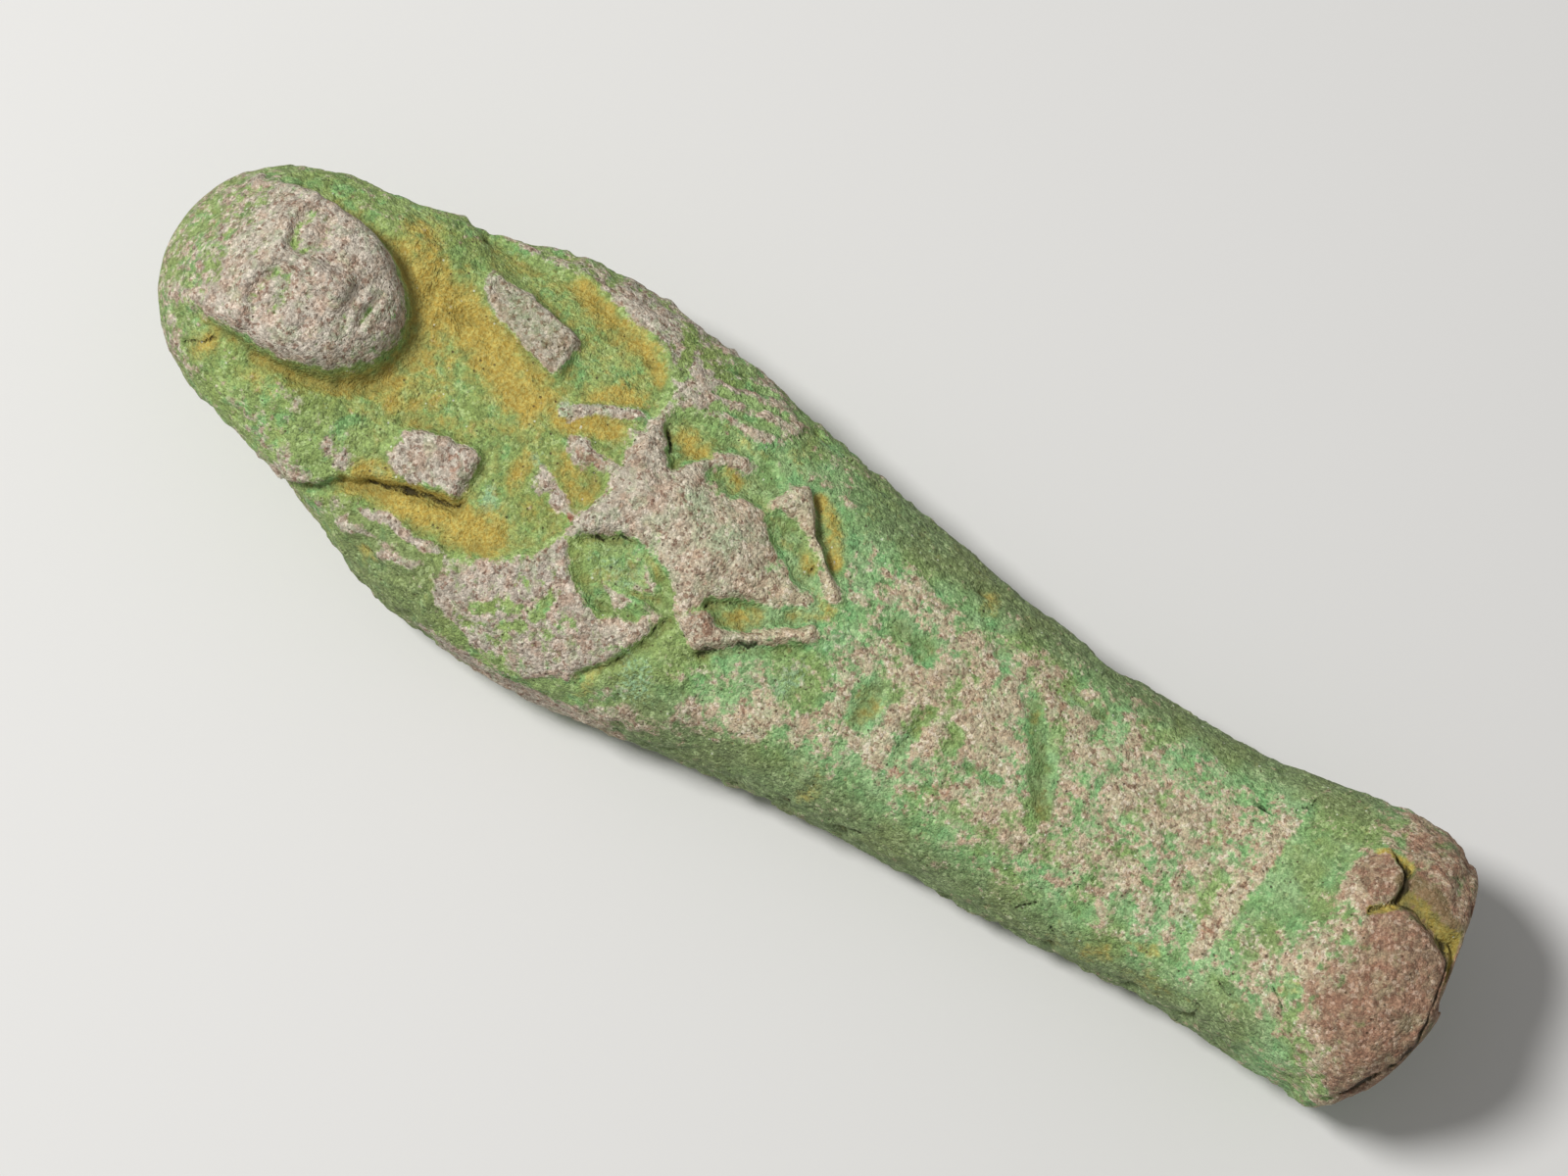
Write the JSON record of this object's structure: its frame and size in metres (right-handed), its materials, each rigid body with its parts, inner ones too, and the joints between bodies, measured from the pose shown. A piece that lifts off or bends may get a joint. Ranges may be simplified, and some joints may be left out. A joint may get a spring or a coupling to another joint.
{
  "type": "ushabti figurine",
  "caption": "Mummy-shaped tomb figurine of worn green-glazed earthenware with plain wig, winged beetle on the chest and projecting feet, lying on its flat back.",
  "frame": {"origin": "centre of the figure's bounding box, on the plane its flat back lies on", "axes": "+X towards the viewer's right as one faces the figure, +Y from the feet towards the head, +Z out of the chest"},
  "size_m": [0.033, 0.115, 0.024],
  "materials": {
    "worn_glaze": "matte, gritty earthenware with a worn green glaze, ochre in the hollows and bare beige body on the high points"
  },
  "bodies": {
    "root": {"ushabti_figurine": "worn_glaze"}
  },
  "joints": []
}
